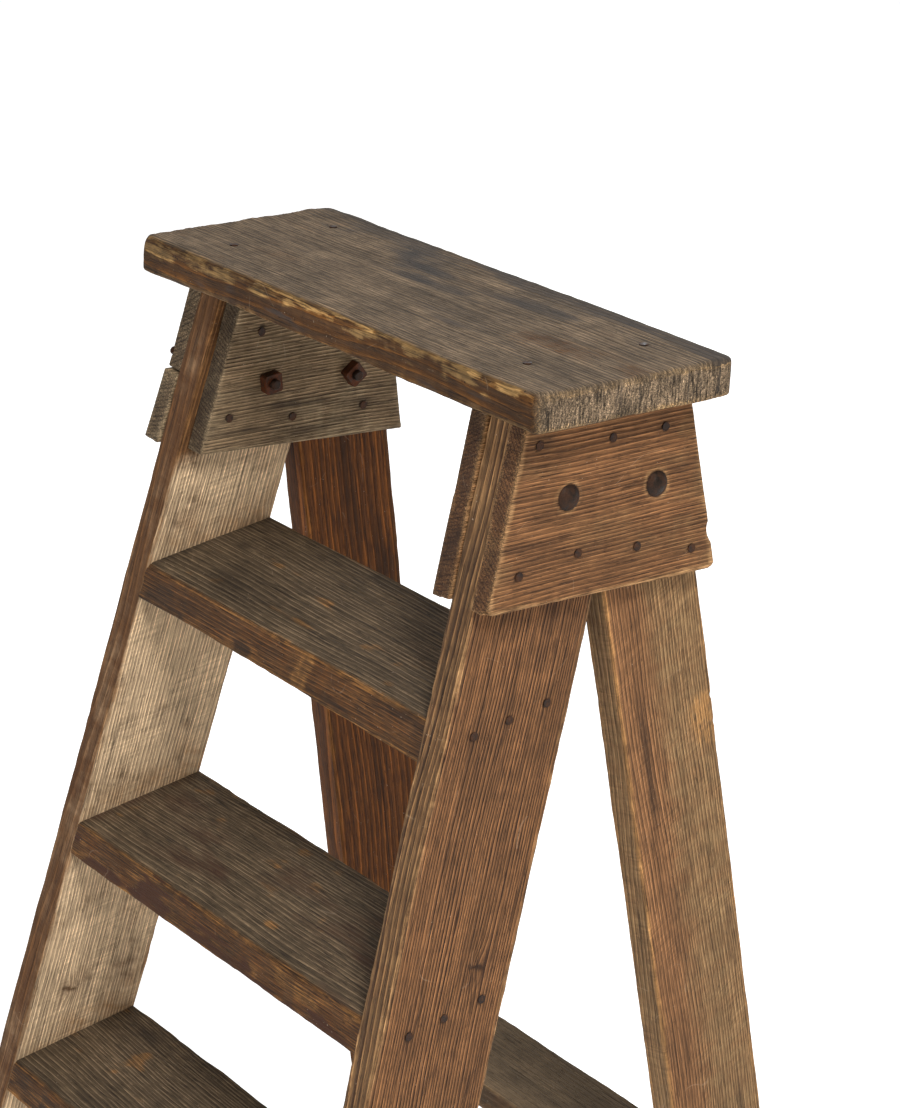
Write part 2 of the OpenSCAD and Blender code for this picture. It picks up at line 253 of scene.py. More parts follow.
def board(name, size, timber, place, steps=(5.0, 1.6, 1.6), worn=2.5, soften=None, uneven=0.5,
          chips=(), nails=(), bolts=(), paint=None, mirrored=False, kerf=0.0, swell=None):
    """One board. size is its length, width and thickness; place maps box points to the row frame and
    gives their wood coordinates; soften(p, seed) is the extra rounding of the arrises;
    paint(p, n, marks, seed) edits the marks, which are clipped to 0 and 1 after it; kerf is the depth
    of saw ridges across the ends; swell(x) is how much thicker the board is below."""
    half = np.array(size, float) / 2
    at, quads = shell([spread(h, s) for h, s in zip(half, steps)])
    seed = timber.seed
    edge_seed = np.sign(at) * [0, 40, 40]
    radius = worn * (1 + 0.45 * noise(at + edge_seed * 9, (38, 60, 60), seed)
                     + 0.35 * noise(at + edge_seed * 9, (9, 30, 30), seed + 3))
    if soften:
        radius = radius + soften(at, seed)
    radius = np.clip(radius, 0.5, half.min() * 0.9)
    core = np.clip(at, -(half - radius[:, None]), half - radius[:, None])
    away = at - core
    normal = away / np.linalg.norm(away, axis=1, keepdims=True)
    shaped = core + radius[:, None] * normal

    gaps = np.sort(half - np.abs(at), axis=1)
    to_arris = gaps[:, 1]
    wood = place(shaped)[1]
    late = timber.late(wood)
    end = normal[:, 0] ** 2
    broad, small = noise(shaped, (160, 45, 45), seed + 5), noise(shaped, (30, 9, 9), seed + 6)
    depth = uneven * (0.55 + 0.3 * broad + 0.15 * small)
    relief = timber.ridge * (1 - late) * (1 + 0.5 * noise(shaped, (70, 20, 20), seed + 7))
    depth = depth + relief * (1 - 0.4 * end)
    depth = depth + bites(at, chips)
    if kerf:
        ridges = np.sin(at[:, 1] * 1.35 + 2.2 * noise(at, (60, 14, 9), seed + 15, 2))
        ridges = 0.5 + 0.5 * ridges + 0.4 * noise(at, (60, 3, 8), seed + 16)
        depth = depth + kerf * end * np.clip(ridges, 0, 1.4)
    dark = np.zeros(len(at))
    for x, y, size in timber.knots:
        slit = np.hypot((wood[:, 0] - x) / (0.45 * size), (wood[:, 1] - y) / (1.6 * size))
        swirl = np.hypot((wood[:, 0] - x) / (3.2 * size), (wood[:, 1] - y) / (2.6 * size))
        depth = depth + 0.9 * (1 - smooth(0.5, 1.2, slit))
        dark = np.maximum(dark, 1 - smooth(0.6, 1.2, slit))
        dark = np.maximum(dark, 0.4 * (1 - smooth(0.3, 1.2, swirl)))
    for x, y, z in nails:
        d = np.sqrt((at[:, 0] - x) ** 2 + (at[:, 1] - y) ** 2 + (at[:, 2] - z) ** 2)
        depth = depth + 0.9 * (1 - smooth(2.8, 5.2, d))
        streak = np.sqrt(((at[:, 0] - x) / 3.5) ** 2 + (at[:, 1] - y) ** 2 + (at[:, 2] - z) ** 2)
        dark = np.maximum(dark, 0.9 * (1 - smooth(3.0, 5.2, d)))
        dark = np.maximum(dark, 0.25 * (1 - smooth(2, 8, streak)))
    shaped = shaped - normal * depth[:, None]
    if swell:
        shaped[:, 2] -= swell(shaped[:, 0]) * (0.5 - shaped[:, 2] / size[2])

    marks = np.zeros((len(at), 4))
    reach = 5.5 * (worn / 2.5) ** 0.5
    rubbed = 1 - smooth(0.6, reach, to_arris + 1.5 * noise(at, (26, 5, 5), seed + 8))
    marks[:, WORN] = rubbed * (0.65 + 0.5 * noise(at, (60, 40, 40), seed + 9))
    marks[:, GRIME_AND_SHADE] = dark
    marks[:, END] = end
    for x, y, z in bolts:
        d = np.sqrt((at[:, 0] - x) ** 2 + (at[:, 1] - y) ** 2 + (at[:, 2] - z) ** 2)
        rim = smooth(9.8, 11.2, d) * (1 - smooth(11.8, 15.5, d))
        # Painted shade: a dark disc under each bolt head, reaching just past the head's edge.
        lay(marks, GRIME_AND_SHADE, 1 - smooth(10.0, 11.6, d))
        lay(marks, WORN, rim * (0.45 + 0.4 * noise(at, (7, 7, 7), seed + 14)))
    if paint:
        paint(at, normal, marks, seed)
    marks = np.clip(marks, 0, 1)

    points, wood = place(shaped)
    if mirrored:
        quads = quads[:, ::-1]
    ring = timber.rings(wood)[:, None]
    piece = make_mesh(name, points, quads, {"wood": wood, "ring": ring, "marks": marks})
    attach(piece, "root")
    return piece


# ---- where the boards go ----------------------------------------------------------------------


def bar_place(side, lean, y_middle, behind_stile=False):
    """Straight bar cut level at the floor and under the top step. Box X runs down the bar, Y to the
    rear and Z outwards. A negative lean runs to the rear."""
    length = UNDER / math.cos(SPLAY) / math.cos(lean)

    def place(p):
        x = p[:, 2] - CHEEK_TH - BOARD_TH / 2
        along = p[:, 0] + length / 2 + (x * math.tan(SPLAY) - p[:, 1] * math.sin(lean)) / math.cos(lean)
        y = y_middle - along * math.sin(lean) + p[:, 1] * math.cos(lean)
        z = -along * math.cos(lean) - p[:, 1] * math.sin(lean)
        if behind_stile:
            y = np.maximum(y, stile_rear(-z) + 0.4)
        return on_side(side, np.stack([x, y, z], axis=1)), np.stack([along, p[:, 1], p[:, 2]], axis=1)

    return length, place


def cheek_place(side, x_out, forward, h_front, h_rear, length, height, start=0, kick=0):
    """Cheek board between the stile's front edge and the leg's rear edge. Box X runs to the rear, Y up
    and Z outwards. A strip starts at a drop of its own, and kick is how far its lower edge stands off."""
    def place(p):
        s, t = p[:, 0] / length + 0.5, p[:, 1] / height + 0.5
        x = p[:, 2] - x_out - CHEEK_TH / 2 + kick * (1 - t) * (1 - s)
        z = -start * t - (h_front + (h_rear - h_front) * s) * (1 - t)
        if not start:
            z = z - x * math.tan(SPLAY) * t
        rear = leg_rear(-z) - 1.7 - 3.2 * z / h_rear
        y = (stile_front(-z) - forward) * (1 - s) + rear * s
        return on_side(side, np.stack([x, y, z], axis=1)), np.stack([y, z, p[:, 2]], axis=1)

    return place


def housed_place(drop, rear_y, run, thickness, slope, lean, length):
    """Board across the ladder with its rear upper arris at rear_y and drop. Box Y runs to the rear and
    Z up. Its edges follow the lean of the members that hold it."""
    squareness = math.cos(slope) - math.sin(slope) * math.tan(lean)
    width = run / squareness

    def place(p):
        back = width / 2 - p[:, 1]
        under = (thickness / 2 - p[:, 2]) / squareness
        y = rear_y - back * math.cos(slope) - under * math.tan(lean)
        v = drop + back * math.sin(slope) + under
        inner = HEAD_W / 2 + v * math.tan(SPLAY) - (CHEEK_TH + BOARD_TH) / math.cos(SPLAY)
        x = p[:, 0] * (inner + HOUSING - 0.6) * 2 / length
        across = (y - rear_y) * math.cos(slope) - (v - drop) * math.sin(slope) + width / 2
        up = thickness / 2 - (y - rear_y) * math.sin(slope) - (v - drop) * math.cos(slope)
        return np.stack([x, y + Y_SHIFT, UNDER - v], axis=1), np.stack([x, across, up], axis=1)

    return width, place


CORNER_FRONT, CORNER_REAR = 9.0, 14.0


def cap_place(p):
    """Top step, with its corners worn round in plan."""
    reach = np.where(p[:, 1] < 0, CORNER_FRONT, CORNER_REAR)
    u = np.clip((np.abs(p[:, 0]) - (CAP_L / 2 - reach)) / reach, 0, 1)
    w = np.clip((np.abs(p[:, 1]) - (CAP_D / 2 - reach)) / reach, 0, 1)
    x = p[:, 0] - np.sign(p[:, 0]) * reach * u * (1 - np.sqrt(1 - w * w / 2))
    y = p[:, 1] - np.sign(p[:, 1]) * reach * w * (1 - np.sqrt(1 - u * u / 2))
    points = np.stack([x, y + CAP_Y, p[:, 2] + UNDER + CAP_TH / 2], axis=1)
    return points, np.stack([x, y, p[:, 2]], axis=1)


# ---- fasteners, as placed in the CAD: y and drop on each side ------------------------------------

BOLTS = {1: [(-38, 70), (54, 75)], -1: [(-35, 83), (56, 89)]}
OUTER_NAILS = {1: [(-68, 23), (7, 29), (62, 29), (-87, 126), (-27, 118), (35, 124), (94, 137)],
               -1: [(-66, 26), (10, 32), (66, 30), (-88, 70), (-80, 126), (-20, 118), (84, 128)]}
INNER_NAILS = {1: [(-52, 40), (70, 40), (-84, 122), (-8, 130), (80, 132)],
               -1: [(-45, 36), (-75, 112), (-6, 122), (73, 124)]}
TREAD_NAIL_BACK = [28, 64, 103]
PLANK_NAIL_BACK = [28, 74]
CAP_NAILS = [(204, -53), (212, 60), (-204, -53), (-212, 60)]


def tread_nails():
    """Y and drop of the nails in the stile's outer face."""
    spots = []
    for drop in TREAD_DROP.values():
        for back in TREAD_NAIL_BACK:
            y = stile_front(drop + TREAD_TH / 2 + 8) + back
            v = drop + (stile_rear(drop) - y) * math.tan(SLOPE) + TREAD_TH / 2
            spots.append((y, v / math.cos(SPLAY)))
    return spots


def plank_nails():
    middle = PLANK_DROP + PLANK_TH / 2
    return [(leg_front(middle) + back, middle / math.cos(SPLAY)) for back in PLANK_NAIL_BACK]


def to_bar(spots, lean, y_middle, length):
    """Y and drop on the outer face of a bar, as box coordinates."""
    found = []
    for y, v in spots:
        w = (y - y_middle) * math.cos(lean) + v * math.sin(lean)
        along = v * math.cos(lean) - (y - y_middle) * math.sin(lean)
        start = (-CHEEK_TH * math.tan(SPLAY) - w * math.sin(lean)) / math.cos(lean)
        found.append((along - start - length / 2, w, BOARD_TH / 2))
    return found


# ---- materials --------------------------------------------------------------------------------


class Tree:
    """Short forms for building a node tree. A value is a number, a tuple or a socket."""

    def __init__(self, tree):
        self.tree = tree

    def node(self, kind, inputs=None, **settings):
        node = self.tree.nodes.new(kind)
        for key, value in settings.items():
            setattr(node, key, value)
        for key, value in (inputs or {}).items():
            self.put(node.inputs[key], value)
        return node

    def put(self, socket, value):
        if isinstance(value, bpy.types.NodeSocket):
            self.tree.links.new(value, socket)
        else:
            socket.default_value = value

    def math(self, operation, a, b=0.0, clamp=False):
        return self.node("ShaderNodeMath", {0: a, 1: b}, operation=operation, use_clamp=clamp).outputs[0]

    def times(self, a, b, clamp=False):
        return self.math("MULTIPLY", a, b, clamp)

    def plus(self, a, b, clamp=False):
        return self.math("ADD", a, b, clamp)

    def minus(self, a, b):
        return self.math("SUBTRACT", a, b)

    def ramp(self, value, start, end, low=0.0, high=1.0):
        """Smooth step of value from start to end."""
        inputs = {"Value": value, "From Min": start, "From Max": end, "To Min": low, "To Max": high}
        return self.node("ShaderNodeMapRange", inputs, interpolation_type="SMOOTHSTEP").outputs[0]

    def mix(self, share, a, b, blend="MIX"):
        node = self.node("ShaderNodeMix", data_type="RGBA", blend_type=blend, clamp_result=False)
        for key, value in ((0, share), (6, a), (7, b)):
            self.put(node.inputs[key], value)
        return node.outputs[2]

    def noise(self, vector, size, detail=2.0, rough=0.55):
        """Noise with a feature size in mm along each axis, 0.5 on average."""
        per_mm = tuple(1 / c for c in size)
        scaled = self.node("ShaderNodeVectorMath", {0: vector, 1: per_mm}, operation="MULTIPLY")
        inputs = {"Vector": scaled.outputs[0], "Scale": 1.0, "Detail": detail, "Roughness": rough}
        return self.node("ShaderNodeTexNoise", inputs).outputs[0]

    def around(self, value, gain):
        """1 + gain times how far a noise is from its average."""
        return self.plus(self.times(self.minus(value, 0.5), gain), 1.0)

    def broken(self, mask, noise, depth=3.2):
        """A soft mask with its half tones broken up by a noise."""
        edge = self.times(mask, self.minus(1.0, mask))
        push = self.times(self.minus(noise, 0.5), self.times(edge, depth * 4))
        return self.plus(mask, push, clamp=True)


WOOD_COLOURS = ("Early", "Late", "Tone", "Worn", "Grime_and_shade")
WOOD_AMOUNTS = {"Seed": 0.0, "Rings": 0.9, "Fibre": 1.0, "Blotch": 0.6, "Saw": 0.0, "Flecks": 0.5,
                "End": 0.8, "Kerf": 0.4, "Holes": 0.3, "Bump": 1.0}


def wood_group():
    """Old softwood: growth rings, fibres, checks, stains and worn edges, in the board's coordinates."""
    group = bpy.data.node_groups.new("weathered_wood", "ShaderNodeTree")
    for name in WOOD_COLOURS:
        group.interface.new_socket(name, in_out="INPUT", socket_type="NodeSocketColor")
    for name in WOOD_AMOUNTS:
        group.interface.new_socket(name, in_out="INPUT", socket_type="NodeSocketFloat")
    group.interface.new_socket("Color", in_out="OUTPUT", socket_type="NodeSocketColor")
    for name in ("Roughness", "Height"):
        group.interface.new_socket(name, in_out="OUTPUT", socket_type="NodeSocketFloat")
    t = Tree(group)
    given = t.node("NodeGroupInput").outputs
    wood = t.node("ShaderNodeAttribute", attribute_name="wood").outputs["Vector"]
    ring = t.node("ShaderNodeAttribute", attribute_name="ring").outputs["Fac"]
    marks = t.node("ShaderNodeAttribute", attribute_name="marks")
    mark = t.node("ShaderNodeSeparateColor", {0: marks.outputs["Color"]}).outputs
    worn, grime_and_shade, tone, end = mark[0], mark[1], mark[2], marks.outputs["Alpha"]
    long_face = t.minus(1.0, end)
    shift = t.node("ShaderNodeCombineXYZ", {0: t.times(given["Seed"], 131.0),
                                            1: t.times(given["Seed"], 57.0), 2: given["Seed"]})
    place = t.node("ShaderNodeVectorMath", {0: wood, 1: shift.outputs[0]}, operation="ADD").outputs[0]

    # fibres run with the grain on long faces and shrink to pores on end grain
    fibre = t.noise(place, (24.0, 0.9, 0.9), 2.0, 0.6)
    strand = t.noise(place, (90.0, 2.2, 2.2), 2.0, 0.5)
    streak = t.noise(place, (260.0, 9.0, 9.0), 2.0, 0.5)
    blotch = t.noise(place, (60.0, 30.0, 30.0), 5.0, 0.6)
    smudge = t.noise(place, (13.0, 34.0, 34.0), 4.0, 0.62)
    fleck = t.noise(place, (8.0, 0.9, 0.9), 1.0, 0.5)
    pore = t.noise(place, (1.4, 1.2, 1.2), 2.0, 0.6)
    crumb = t.noise(place, (2.6, 1.7, 1.7), 1.0, 0.5)
    kerf = t.times(t.minus(t.noise(place, (20.0, 1.7, 13.0), 2.0, 0.6), 0.5), end)
    kerf = t.times(kerf, given["Kerf"])
    cells = t.node("ShaderNodeTexVoronoi", {"Vector": place, "Scale": 1 / 13.0})
    hole = t.ramp(cells.outputs["Distance"], 0.045, 0.075, 1.0, 0.0)
    hole = t.times(hole, t.ramp(blotch, 0.45, 0.5))
    hole = t.times(t.times(hole, given["Holes"]), long_face)

    # rings: soft early wood, then a dark band that ends sharply
    part = t.math("FRACT", t.plus(ring, t.times(t.minus(strand, 0.5), 0.22)))
    late = t.times(t.ramp(part, 0.42, 0.78), t.ramp(part, 0.93, 1.0, 1.0, 0.0))
    crest = t.times(t.ramp(part, 0.0, 0.32, 1.0, 0.0), long_face)
    count = t.plus(t.math("FLOOR", ring), given["Seed"])
    luck = t.node("ShaderNodeTexWhiteNoise", {"W": count}, noise_dimensions="1D").outputs["Value"]
    band = t.times(late, t.plus(t.times(luck, 0.5), 0.5))
    band = t.times(band, t.ramp(blotch, 0.2, 0.55, 0.6, 1.0))
    check = t.times(t.ramp(fibre, 0.58, 0.65), long_face)
    crack = t.times(t.ramp(strand, 0.645, 0.68), long_face)
    pit = t.times(t.ramp(fleck, 0.66, 0.73), long_face)

    # saw marks: shallow arcs across the grain that come and go
    across = (1.0, 0.42, 0.2)
    along = t.node("ShaderNodeVectorMath", {0: place, 1: across}, operation="DOT_PRODUCT").outputs["Value"]
    track = t.node("ShaderNodeCombineXYZ", {0: along, 1: t.times(streak, 10.0)}).outputs[0]
    saw = t.noise(track, (2.1, 8.0, 8.0), 1.0, 0.5)
    saw = t.times(t.minus(saw, 0.5), t.ramp(blotch, 0.40, 0.60))
    saw = t.times(t.times(saw, given["Saw"]), long_face)

    colour = t.mix(t.times(band, given["Rings"], clamp=True), given["Early"], given["Late"])
    split = t.plus(t.times(smudge, 0.6), t.times(fibre, 0.4))
    tint = t.broken(tone, split)
    toned = t.mix(t.times(band, t.times(given["Rings"], 0.8)), given["Tone"], given["Late"])
    colour = t.mix(tint, colour, toned)
    scuffed = t.broken(worn, t.plus(t.times(smudge, 0.5), t.times(fibre, 0.5)), 4.5)
    colour = t.mix(t.times(scuffed, 0.8), colour, given["Worn"])

    def shade(light, noise, gain, share="Fibre"):
        return t.times(light, t.around(noise, t.times(given[share], gain)))

    light = shade(1.0, fibre, 2.4)
    light = shade(light, strand, 0.9)
    light = shade(light, streak, 0.6)
    light = shade(light, crest, 0.45)
    light = shade(light, blotch, 1.8, "Blotch")
    light = shade(light, smudge, 1.0, "Blotch")
    for dent, depth in ((check, 0.38), (crack, 0.6), (pit, 0.55)):
        light = t.times(light, t.minus(1.0, t.times(dent, depth)))
    light = t.times(light, t.around(pore, t.times(end, 4.0)))
    light = t.times(light, t.plus(1.0, t.times(end, t.minus(given["End"], 1.0))))
    light = t.times(light, t.plus(1.0, t.times(kerf, 4.5)))
    light = t.times(light, t.minus(1.0, t.times(hole, 0.85)))
    light = t.times(light, t.plus(1.0, t.times(saw, 1.3)))
    light = t.math("MAXIMUM", light, 0.12)
    grey = t.node("ShaderNodeCombineColor", {0: light, 1: light, 2: light}).outputs[0]
    colour = t.mix(1.0, colour, grey, "MULTIPLY")
    # The grime channel mixes in the grime colour, both for real dirt and for painted shade.
    dirt_and_shade = t.broken(grime_and_shade, t.plus(t.times(blotch, 0.7), t.times(fibre, 0.3)))
    colour = t.mix(t.times(dirt_and_shade, 0.9), colour, given["Grime_and_shade"])

    # pale crumbs, and long thin scratches along the contours of a broad noise
    contour = t.noise(place, (90.0, 60.0, 60.0), 0.0)
    near = t.math("ABSOLUTE", t.minus(contour, 0.52))
    scratch = t.times(t.ramp(near, 0.0, 0.0035, 1.0, 0.0), t.ramp(smudge, 0.5, 0.6))
    specks = t.times(t.ramp(crumb, 0.745, 0.79), t.ramp(blotch, 0.42, 0.6))
    pale = t.times(t.math("MAXIMUM", t.times(scratch, 0.35), specks), given["Flecks"])
    lighter = t.mix(0.5, given["Worn"], (0.62, 0.55, 0.45, 1.0))
    colour = t.mix(pale, colour, lighter)

    height = t.plus(t.times(band, 0.45), t.times(fibre, 0.9))
    height = t.plus(height, t.times(strand, 0.5))
    for dent, depth in ((check, 0.4), (crack, 0.9), (pit, 0.4)):
        height = t.minus(height, t.times(dent, depth))
    height = t.plus(height, t.times(t.times(pore, end), 1.4))
    height = t.plus(height, t.times(saw, 0.9))
    height = t.plus(height, t.times(kerf, 4.0))
    height = t.minus(height, hole)
    height = t.times(height, given["Bump"])
    rough = t.plus(0.7, t.times(fibre, 0.2))
    t.node("NodeGroupOutput", {"Color": colour, "Roughness": rough, "Height": height})
    return group


def srgb(*c):
    """Linear colour from sRGB numbers up to 255."""
    return tuple(((x / 255 + 0.055) / 1.055) ** 2.4 if x > 10 else x / 255 / 12.92 for x in c) + (1.0,)


BUMP_STRENGTH = 0.85
WOOD_RELIEF, IRON_RELIEF = 1.1 * MM, 0.3 * MM
WOOD_SPECULAR, IRON_SPECULAR = 0.22, 0.3


def principled(name, build, specular):
    """Material whose colour, roughness and bump height come from build(tree)."""
    material = bpy.data.materials.new(name)
    material.use_nodes = True
    t = Tree(material.node_tree)
    material.node_tree.nodes.clear()
    colour, rough, height, depth, metallic = build(t)
    bump = t.node("ShaderNodeBump", {"Height": height, "Strength": BUMP_STRENGTH, "Distance": depth})
    inputs = {"Base Color": colour, "Roughness": rough, "Metallic": metallic, "Normal": bump.outputs[0]}
    shader = t.node("ShaderNodeBsdfPrincipled", inputs)
    shader.inputs["Specular IOR Level"].default_value = specular
    t.node("ShaderNodeOutputMaterial", {0: shader.outputs[0]})
    return material


WOOD = wood_group()


def wood_material(name, early, late, tone, worn, grime_and_shade, **amounts):
    def build(t):
        values = dict(zip(WOOD_COLOURS, (early, late, tone, worn, grime_and_shade)))
        values.update(WOOD_AMOUNTS | amounts)
        node = t.tree.nodes.new("ShaderNodeGroup")
        node.node_tree = WOOD
        for key, value in values.items():
            node.inputs[key].default_value = value
        return node.outputs["Color"], node.outputs["Roughness"], node.outputs["Height"], WOOD_RELIEF, 0.0

    return principled(name, build, WOOD_SPECULAR)


def iron_material(name, dark, rust, seed):
    """Old iron: dark skin with rust in patches, pitted all over."""
    def build(t):
        at = t.node("ShaderNodeTexCoord").outputs["Object"]
        away = (seed, seed * 0.7, 0.0)
        moved = t.node("ShaderNodeVectorMath", {0: at, 1: away}, operation="ADD").outputs[0]
        patch = t.noise(moved, (6 * MM, 6 * MM, 6 * MM), 4.0, 0.6)
        pitting = t.noise(moved, (1.3 * MM, 1.3 * MM, 1.3 * MM), 3.0, 0.6)
        colour = t.mix(t.ramp(patch, 0.38, 0.62), dark, rust)
        light = t.around(pitting, 1.4)
        grey = t.node("ShaderNodeCombineColor", {0: light, 1: light, 2: light}).outputs[0]
        rough = t.ramp(patch, 0.35, 0.65, 0.38, 0.8)
        return t.mix(1.0, colour, grey, "MULTIPLY"), rough, pitting, IRON_RELIEF, 0.55

    return principled(name, build, IRON_SPECULAR)


def dress(piece, material, *nodes, slot=None):
    """Gives a piece its material and hides the CAD nodes that it stands for."""
    piece.data.materials.append(material)
    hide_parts(*nodes)


# ---- boards -----------------------------------------------------------------------------------

STILE_MIDDLE = STILE_Y0 + STILE_W / math.cos(LEAN) / 2
STILE_LENGTH = UNDER / math.cos(SPLAY) / math.cos(LEAN)
LEG_MIDDLE = LEG_Y0 - LEG_W / math.cos(LEG_LEAN) / 2


def make_stile(name, side, timber, material, paint):
    length, place = bar_place(side, LEAN, STILE_MIDDLE)
    nails = to_bar(tread_nails(), LEAN, STILE_MIDDLE, length)
    piece = board(name, (length, STILE_W, BOARD_TH), timber, place, (3.2, 1.6, 1.6), worn=2.6, uneven=0.7,
                  nails=nails, paint=paint, mirrored=side < 0)
    dress(piece, material, "stile_" + ("right" if side > 0 else "left"))


def make_leg(name, side, timber, material, paint, chips=()):
    length, place = bar_place(side, -LEG_LEAN, LEG_MIDDLE, behind_stile=True)
    nails = to_bar(plank_nails(), -LEG_LEAN, LEG_MIDDLE, length)
    piece = board(name, (length, LEG_W, BOARD_TH), timber, place, (3.6, 1.6, 1.6), worn=2.2, uneven=0.6,
                  chips=chips, nails=nails, paint=paint, mirrored=side < 0)
    dress(piece, material, "rear_leg_" + ("right" if side > 0 else "left"))


def band(p, axis, start, end):
    return smooth(start, end, p[:, axis])


# Colours of the timber, in sRGB: early wood, late wood, second tone, worn arris, grime and painted shade.
TOP = (srgb(129, 109, 86), srgb(82, 65, 48), srgb(88, 54, 18), srgb(158, 124, 76), srgb(52, 50, 50))
RED = (srgb(142, 98, 61), srgb(65, 40, 26), srgb(136, 102, 66), srgb(190, 146, 98), srgb(44, 29, 21))
PALE = (srgb(118, 80, 46), srgb(62, 40, 23), srgb(222, 191, 152), srgb(150, 106, 62), srgb(76, 46, 22))
LEG = (srgb(152, 107, 69), srgb(84, 56, 36), srgb(156, 124, 85), srgb(186, 136, 82), srgb(56, 39, 27))
# Left rear leg: redder wood whose colours are also darkened as painted shade from the top step and treads
# above it.
LEG_RED_SHADED = (srgb(117, 68, 26), srgb(74, 42, 15), srgb(132, 100, 68), srgb(130, 84, 36), srgb(44, 27, 13))
GREY = (srgb(148, 123, 92), srgb(50, 38, 27), srgb(162, 140, 108), srgb(174, 150, 116), srgb(40, 29, 21))
STEP = (srgb(115, 96, 73), srgb(62, 50, 38), srgb(96, 60, 28), srgb(150, 106, 58), srgb(38, 30, 24))
STEP_SKIN = srgb(64, 38, 26)
DECK = (srgb(124, 104, 79), srgb(98, 82, 62), srgb(88, 62, 38), srgb(138, 112, 80), srgb(62, 52, 40))


def paint_cap(p, n, marks, seed):
    """Orange-brown front edge with ochre wear over it, and dark stains on the top."""
    front = smooth(0.25, 0.75, -n[:, 1])
    upper = band(p, 2, -7, 9)
    top = n[:, 2] > 0.5
    patch = smooth(0.0, 0.3, noise(p, (24, 12, 6), seed + 22, 3) + 0.55 * upper - 0.42)
    lay(marks, TONE, front)
    lay(marks, TONE, 0.6 * top * smooth(0.1, 0.7, noise(p, (90, 36, 30), seed + 25, 3)))
    marks[:, WORN] = np.maximum(marks[:, WORN] * (1 - 0.7 * top) * (1 - 0.6 * front), front * patch)
    sawn = n[:, 0] ** 2
    marks[:, WORN] = marks[:, WORN] * (1 - 0.4 * sawn)
    marks[:, TONE] = marks[:, TONE] * (1 - sawn)
    lay(marks, GRIME_AND_SHADE, 0.5 * sawn * smooth(0.2, 0.7, noise(p, (30, 3.2, 18), seed + 27, 2)))
    stain = smooth(0.15, 0.7, noise(p, (80, 24, 20), seed + 23, 3) + 0.35 * smooth(20, 95, p[:, 1]))
    lay(marks, GRIME_AND_SHADE, 0.75 * stain * top)
    soot = smooth(0.1, 0.5, noise(p, (34, 12, 5), seed + 24, 2) - 0.4 * upper)
    lay(marks, GRIME_AND_SHADE, 0.6 * front * soot)


def paint_stile(pale_inside):
    def paint(p, n, marks, seed):
        """Front edge in the second tone. Where asked, it is darkened instead as painted shade, and the
        second tone is a pale inner face, with a brown strip and rubbed brown bands above the treads."""
        front = smooth(0.3, 0.8, -n[:, 1])
        inner = smooth(0.3, 0.8, -n[:, 2])
        if pale_inside:
            thin = smooth(0.1, 0.6, noise(p, (34, 30, 20), seed + 31, 3) + 0.3 * smooth(10, 58, p[:, 1]))
            strip = smooth(-30, -42, p[:, 1]) * (1 - smooth(-470, -440, p[:, 0]))
            lay(marks, TONE, inner * (1.0 - 0.3 * thin) * (1 - strip))
            for drop in TREAD_DROP.values():
                tread = drop / math.cos(LEAN) + (STILE_W / 2 - p[:, 1]) * math.tan(LEAN + SLOPE)
                above = tread - p[:, 0] - STILE_LENGTH / 2
                ragged = above + 30 * noise(p, (30, 40, 20), seed + 37, 2)
                rubbed = smooth(-10, 0, above) * (1 - smooth(8, 70, ragged))
                lay(marks, WORN, 0.4 * inner * rubbed)
            lay(marks, TONE, 0.12 * front * smooth(-0.3, 0.5, noise(p, (60, 20, 12), seed + 30, 2)))
            marks[:, WORN] = marks[:, WORN] * (1 - 0.5 * front)
            # Painted shade: the whole front face darkened.
            lay(marks, GRIME_AND_SHADE, 0.5 * front)
            lay(marks, GRIME_AND_SHADE, 0.12 * inner * smooth(0.42, 0.8, noise(p, (34, 7, 20), seed + 32, 3)))
        else:
            lay(marks, TONE, 0.8 * front)
            marks[:, WORN] = marks[:, WORN] * (1 - 0.4 * front)
        lay(marks, GRIME_AND_SHADE, 0.4 * (1 - inner) * smooth(0.2, 0.6, noise(p, (120, 20, 20), seed + 33, 2)))

    return paint


LEG_CHIPS = [(-322, 50, 12, 4, 4, 2.0), (-308, 50, 10, 3, 5, 2.6), (-296, 50, 12, 4, 4, 1.8),
             (-284, 50, 9, 3, 4, 2.4)]


def paint_left_leg(p, n, marks, seed):
    """Sheltered and red on the inside, greyer on the outside."""
    outside = smooth(0.3, 0.8, n[:, 2])
    lay(marks, TONE, 0.9 * outside)
    lay(marks, GRIME_AND_SHADE, 0.5 * smooth(0.2, 0.65, noise(p, (100, 14, 20), seed + 33, 2)))


def paint_right_leg(p, n, marks, seed):
    """Redder towards the front edge, greyer behind, with a splintered spot on the rear arris."""
    splinters = 1 - smooth(0.5, 1.0, np.hypot((p[:, 0] + 302) / 32, (p[:, 1] - 44) / 26))
    splinters = splinters * smooth(-0.45, 0.0, noise(p, (9, 3, 6), seed + 36, 2))
    lay(marks, WORN, 0.95 * splinters)
    front = smooth(0.3, 0.8, -n[:, 1])
    behind = smooth(-25, 8, p[:, 1] + 9 * noise(p, (90, 30, 30), seed + 35, 2))
    lay(marks, TONE, 0.8 * front)
    lay(marks, TONE, 0.75 * behind * smooth(0.2, 0.8, np.abs(n[:, 2])))
    lay(marks, GRIME_AND_SHADE, 0.5 * smooth(0.2, 0.65, noise(p, (100, 14, 20), seed + 33, 2)))


CHEEK_CHIPS = [(100, -46, 8, 4, 10, 2.6), (100, -62, -4, 4, 7, 1.8), (-100, -78, 8, 6, 6, 2.5),
               (100, -78, 6, 9, 7, 3.5)]


